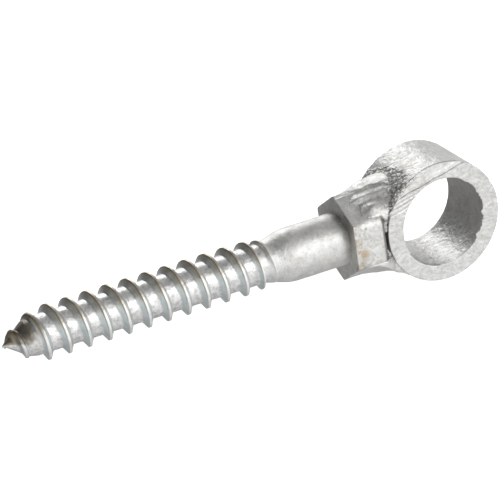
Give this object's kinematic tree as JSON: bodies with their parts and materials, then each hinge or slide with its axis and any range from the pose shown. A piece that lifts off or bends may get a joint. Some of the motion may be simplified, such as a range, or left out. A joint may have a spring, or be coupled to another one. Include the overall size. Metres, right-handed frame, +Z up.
{
  "type": "thimble eye",
  "caption": "Screw-in thimble eye: a wood-threaded lag screw whose hex head is welded to the side of a short thick tube, which takes a pin, hook or rope.",
  "frame": {"origin": "under the middle of the part's bounding box, level with the lowest line of the eye tube", "axes": "+X along the screw from its point towards the eye, +Y along the eye's bore from the saw-cut front face to the back face, +Z up across the eye"},
  "size_m": [0.0934, 0.0146, 0.0225],
  "materials": {
    "zinc_plated_steel": "bright bluish zinc on the thread, matt silver coating over the neck, shank and head",
    "silver_coated_steel": "matt silver coating over saw-cut tube, with fine scratches",
    "weld_metal": "matt silver coating over lumpy arc weld with dark slag pockets"
  },
  "bodies": {
    "root": {"lag_screw": "zinc_plated_steel", "eye_tube": "silver_coated_steel", "weld_upper": "weld_metal", "weld_lower": "weld_metal"}
  },
  "joints": []
}
